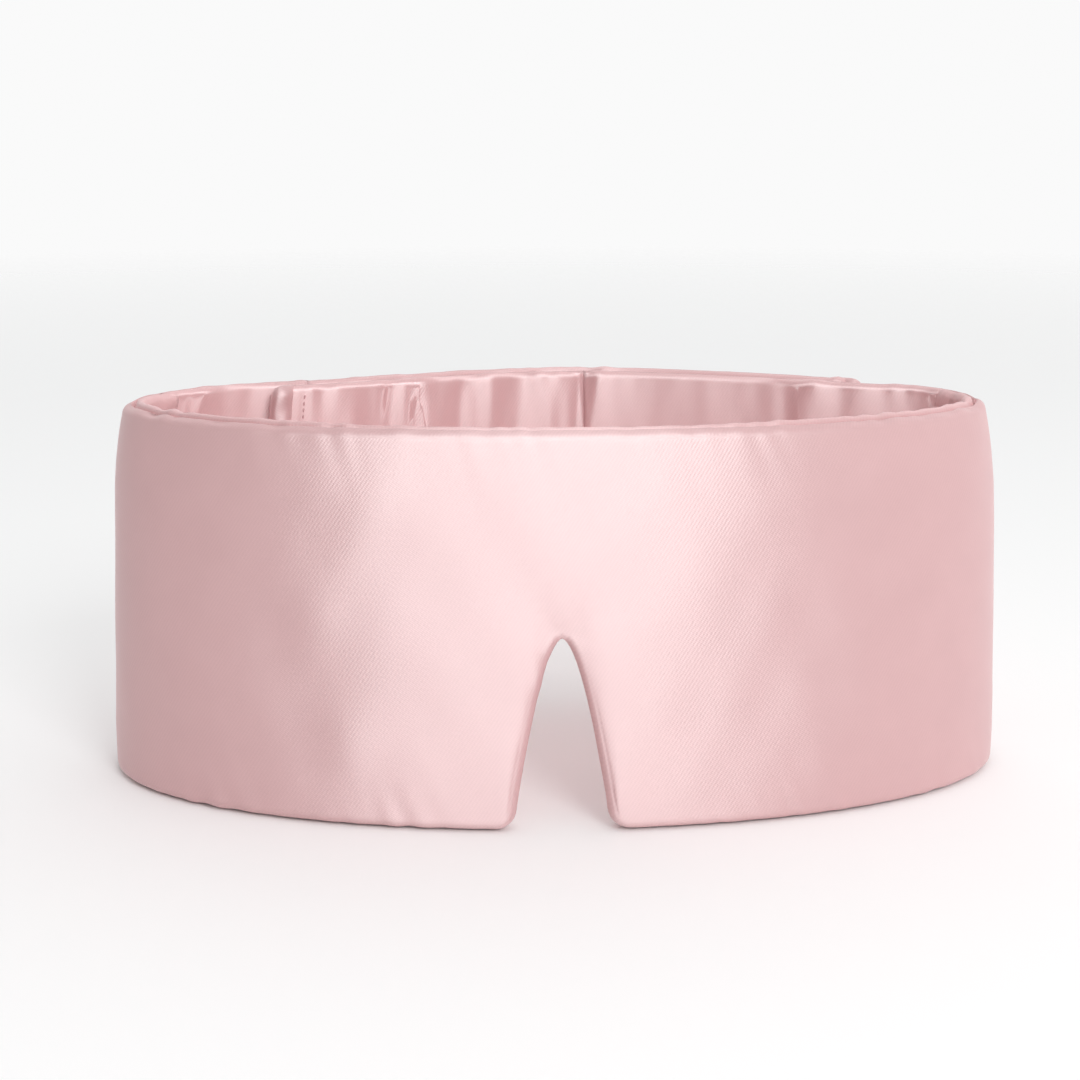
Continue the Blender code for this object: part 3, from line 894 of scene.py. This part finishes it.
def cover_strap(band, cut, ends, joints):
    """Make a strap's shell, lining and wadding, cut in two across the loop.

    ends names the CAD pieces of the two halves; joints, the bodies and bend points of each, is not
    used.
    """
    at = int(np.argmin(np.abs(band.stations - cut)))
    spans = ((0, at + 1), (at, len(band.stations)))
    for (start, end), node, (first, second, from_point, to_point) in zip(spans, ends, joints):
        shell, lining = skins(band, node, start, end)
        filling = wadding_mesh(band, node + "_wadding", 2.0 * MM, start, end)
        pieces = (
            (thicken(add(node + "_cover", shell, SATIN), 0.4 * MM), "_shell"),
            (thicken(add(node + "_inside", lining, LINING), 0.4 * MM), "_lining"),
            (add(node + "_wadding", filling, WADDING), "_padding"),
        )
        for piece, layer in pieces:
            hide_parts(node + layer)
            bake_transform(piece)


def on_curve(curve, s, depth=STRAP_THICKNESS / 2):
    """A point on a strap at half height."""
    return tuple(curve.place(s, depth, HEIGHT / 2))


def strap_stations(low_end, high_end):
    """Stations along a strap."""
    return stations(low_end, high_end, STATION_STEP)


def fasten(name, curve, reach_x, near, material, node, body, seed):
    """A hook or loop tape, with rounded corners, and its border of stitches."""
    first, last = sorted(curve.at_x(x) for x in reach_x)

    def cut(q):
        return rounded(np.minimum(q - first, last - q), TAPE_CORNER)

    low, high = (lambda q: TAPE_LOW + cut(q)), (lambda q: TAPE_HIGH - cut(q))
    band = Band(curve, stations(first, last, 0.9 * MM), low, high, 1.0 * MM, rows=60,
                rim=0.3 * MM, groove=0.0)
    band.bend += near
    band.out += 0.05 * MM * ripple(band.s, band.z, seed, (1.6 * MM, 3.5 * MM),
                                   (1.6 * MM, 3.5 * MM), 30)
    tape = add(name, solid_mesh(band, name), material)
    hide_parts(node)
    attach(tape, body)
    margin = 1.6 * MM
    border = [(first + margin, TAPE_LOW + margin), (last - margin, TAPE_LOW + margin),
              (last - margin, TAPE_HIGH - margin), (first + margin, TAPE_HIGH - margin),
              (first + margin, TAPE_LOW + margin)]
    row = stitch_row(name + "_stitches", band, border, (near > 0,))
    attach(row, body)
    declare_sheet(band, near, low, high)


def tip_pieces(label, band, tip, inwards, edges, body, seed):
    """The hem and the topstitching at a strap's end."""
    hem = add(f"{label}_hem_fold", tube_mesh(f"{label}_hem_fold",
              hem_mesh(band.curve, tip, inwards, edges, seed)), SATIN)
    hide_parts(f"{label}_hem")
    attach(hem, body)
    at = tip + inwards * (HEM_WIDTH + STITCH_FROM_HEM)
    low, high = (float(edge(np.array([at]))[0]) for edge in edges)
    row = stitch_row(f"{label}_stitches", band, [(at, low + 2.5 * MM), (at, high - 2 * MM)],
                     (False, True))
    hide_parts(f"{label}_topstitch")
    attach(row, body)


def build_outer_strap():
    """The strap from the left side, which closes over the inner one."""
    curve = outer_strap_curve()
    seam, tip = curve.start, 0.0
    edges = strap_edges(seam, tip)
    band = Band(curve, strap_stations(HEM_WIDTH - 1.5 * MM, seam + TUCK), *edges,
                STRAP_THICKNESS, rows=40, rim=2.0 * MM, groove=0.6 * MM)
    strap_relief(band, seam, tip, 51, HOOK_TAPE_X, -1, (), 0.9)
    crease = curve.at_x(OUTER_CREASE_X)
    near_seam = ("mask", "outer_strap", on_curve(curve, seam - 0.5 * MM),
                 on_curve(curve, seam - SEAM_BEND))
    near_crease = ("outer_strap", "outer_strap_end", on_curve(curve, crease + BEND_REACH),
                   on_curve(curve, crease - BEND_REACH))
    cover_strap(band, curve.at_x(OUTER_JOIN_X), ("outer_strap_end", "outer_strap"),
                (near_crease, near_seam))
    tip_pieces("outer_strap_end", band, tip, 1, edges, "outer_strap_end", 61)
    fasten("hook_tape_strip", curve, HOOK_TAPE_X, STRAP_THICKNESS + 0.15 * MM, HOOK_BASE,
           "hook_tape", "outer_strap_end", 71)
    return curve


def build_inner_strap(outer):
    """The strap from the right side, whose end lies inside the left side."""
    curve = inner_strap_curve(outer)
    seam, tip = curve.start, curve.length
    edges = strap_edges(seam, tip)
    band = Band(curve, strap_stations(seam - TUCK, tip - HEM_WIDTH + 1.5 * MM), *edges,
                STRAP_THICKNESS, rows=40, rim=2.0 * MM, groove=0.6 * MM)
    folds = ((-60, 5, 0.35), (-48, 4, -0.35), (-36, 6, 0.75), (-27, 4, -0.5), (-19, 5, 0.7),
             (-10, 4, -0.45), (-2, 5, 0.7), (9.5, 2.6, -1.5), (15, 4, 0.3), (77, 4, 0.8),
             (71, 3, -0.3), (84, 3, -0.5), (91, 4, 0.4))
    folds = tuple((x * MM, width, size) for x, width, size in folds)
    strap_relief(band, seam, tip, 81, LOOP_TAPE_X, 1, folds, 1.0)
    fold = curve.at_x(INNER_FOLD_X)
    near_seam = ("mask", "inner_strap", on_curve(curve, seam + 0.5 * MM),
                 on_curve(curve, seam + SEAM_BEND))
    near_fold = ("inner_strap", "inner_strap_end", on_curve(curve, fold - BEND_REACH),
                 on_curve(curve, fold + BEND_REACH))
    cover_strap(band, curve.at_x(INNER_JOIN_X), ("inner_strap", "inner_strap_end"),
                (near_seam, near_fold))
    tip_pieces("inner_strap_end", band, tip, -1, edges, "inner_strap_end", 91)
    fasten("loop_tape_strip", curve, LOOP_TAPE_X, -1.15 * MM, PILE, "loop_tape",
           "inner_strap", 95)


# ---- floor, light, camera
WORLD = 0.955
WORLD_OVERHEAD = 0.20
WORLD_LEFT_DIMMING = 0.55
WORLD_FRONT_DIMMING = 0.40
LIGHT_TARGET = (0, 0, 0.05)
FRONT_BOX_PLACE, FRONT_BOX_SIZE, FRONT_BOX_POWER = (-0.045, -1.1, 0.45), (1.15, 0.8), 50.0
KEY_PLACE, KEY_SIZE, KEY_POWER = (0.42, -0.95, 0.72), (0.42, 0.42), 4.4
FLOOR_REACH = 3.0
FLOOR_DROP = 0.0002
FLOOR_FADE = (0.7, 1.8)  # the floor fades out between these distances
CAMERA_TURN = math.radians(-1.6)
CAMERA_PITCH = math.radians(8)
CAMERA_DISTANCE = 0.445
CAMERA_HEIGHT = 0.175
CAMERA_LENS = 55.6
CAMERA_SHIFT = (-0.015, -0.177)


def build_floor():
    """A pale floor that fades into the surroundings."""
    size = FLOOR_REACH
    mesh = bpy.data.meshes.new("floor")
    mesh.from_pydata([(-size, -size, 0), (size, -size, 0), (size, size, 0), (-size, size, 0)], [],
                     [(0, 1, 2, 3)])
    floor = bpy.data.objects.new("floor", mesh)
    bpy.context.scene.collection.objects.link(floor)
    floor.location.z = -FLOOR_DROP
    n = Nodes("floor")
    n.shader.inputs["Base Color"].default_value = (0.95, 0.955, 0.955, 1)
    n.shader.inputs["Roughness"].default_value = 0.9
    n.shader.inputs["Specular IOR Level"].default_value = 0.1
    place = n.node("ShaderNodeTexCoord").outputs["Object"]
    distance = n.node("ShaderNodeVectorMath", operation="LENGTH")
    n.link(place, distance.inputs[0])
    fade = n.node("ShaderNodeMapRange")
    fade.inputs["From Min"].default_value, fade.inputs["From Max"].default_value = FLOOR_FADE
    n.link(distance.outputs["Value"], fade.inputs["Value"])
    clear = n.node("ShaderNodeBsdfTransparent")
    mix = n.node("ShaderNodeMixShader")
    n.link(fade.outputs["Result"], mix.inputs[0])
    n.link(n.shader.outputs[0], mix.inputs[1])
    n.link(clear.outputs[0], mix.inputs[2])
    n.link(mix.outputs[0], n.tree.nodes["Material Output"].inputs["Surface"])
    mesh.materials.append(n.material)


def area_light(name, place, size, power):
    """A rectangular soft light that faces the middle of the mask."""
    data = bpy.data.lights.new(name, "AREA")
    data.shape = "RECTANGLE"
    data.size, data.size_y = size
    data.energy = power
    light = bpy.data.objects.new(name, data)
    light.location = place
    ahead = Vector(LIGHT_TARGET) - Vector(place)
    light.rotation_euler = ahead.to_track_quat("-Z", "Y").to_euler()
    bpy.context.scene.collection.objects.link(light)
    return light


def build_light():
    """White surroundings, brighter overhead, dimmer in front and on the left, and two lights."""
    world = bpy.data.worlds.new("surroundings")
    bpy.context.scene.world = world
    world.use_nodes = True
    tree = world.node_tree

    def towards(direction, start, full, change):
        """An amount of light that grows towards a direction."""
        dot = tree.nodes.new("ShaderNodeVectorMath")
        dot.operation = "DOT_PRODUCT"
        dot.inputs[1].default_value = direction
        tree.links.new(coordinates, dot.inputs[0])
        ramp = tree.nodes.new("ShaderNodeMapRange")
        ramp.interpolation_type = "SMOOTHSTEP"
        for name, value in (("From Min", start), ("From Max", full), ("To Max", change)):
            ramp.inputs[name].default_value = value
        tree.links.new(dot.outputs["Value"], ramp.inputs["Value"])
        return ramp.outputs["Result"]

    coordinates = tree.nodes.new("ShaderNodeTexCoord").outputs["Generated"]
    strength = WORLD
    for part in (towards((0, 0, 1), 0.3, 0.9, WORLD_OVERHEAD),
                 towards((0, -1, 0), 0.1, 0.9, -WORLD_FRONT_DIMMING),
                 towards((-0.94, -0.34, 0.0), 0.0, 0.85, -WORLD_LEFT_DIMMING)):
        total = tree.nodes.new("ShaderNodeMath")
        total.operation = "ADD"
        tree.links.new(part, total.inputs[0])
        if isinstance(strength, float):
            total.inputs[1].default_value = strength
        else:
            tree.links.new(strength, total.inputs[1])
        strength = total.outputs[0]
    tree.links.new(strength, tree.nodes["Background"].inputs["Strength"])
    tree.nodes["Background"].inputs["Color"].default_value = (1.0, 1.0, 1.0, 1)
    box = area_light("front_box", FRONT_BOX_PLACE, FRONT_BOX_SIZE, FRONT_BOX_POWER)
    box.visible_diffuse = False
    area_light("key", KEY_PLACE, KEY_SIZE, KEY_POWER)


def build_camera():
    """The photograph's view: slightly from the left and from above."""
    data = bpy.data.cameras.new("camera")
    camera = bpy.data.objects.new("camera", data)
    bpy.context.scene.collection.objects.link(camera)
    turn, pitch = CAMERA_TURN, CAMERA_PITCH
    camera.location = (math.sin(turn) * CAMERA_DISTANCE, -math.cos(turn) * CAMERA_DISTANCE,
                       CAMERA_HEIGHT)
    ahead = Vector((-math.sin(turn) * math.cos(pitch), math.cos(turn) * math.cos(pitch),
                    -math.sin(pitch)))
    camera.rotation_euler = ahead.to_track_quat("-Z", "Y").to_euler()
    data.sensor_width = 36
    data.lens = CAMERA_LENS
    data.shift_x, data.shift_y = CAMERA_SHIFT
    data.clip_start = 0.01
    bpy.context.scene.camera = camera
    bpy.context.scene.view_settings.view_transform = "Standard"


build_camera()
build_floor()
build_light()
build_front()
build_inner_strap(build_outer_strap())
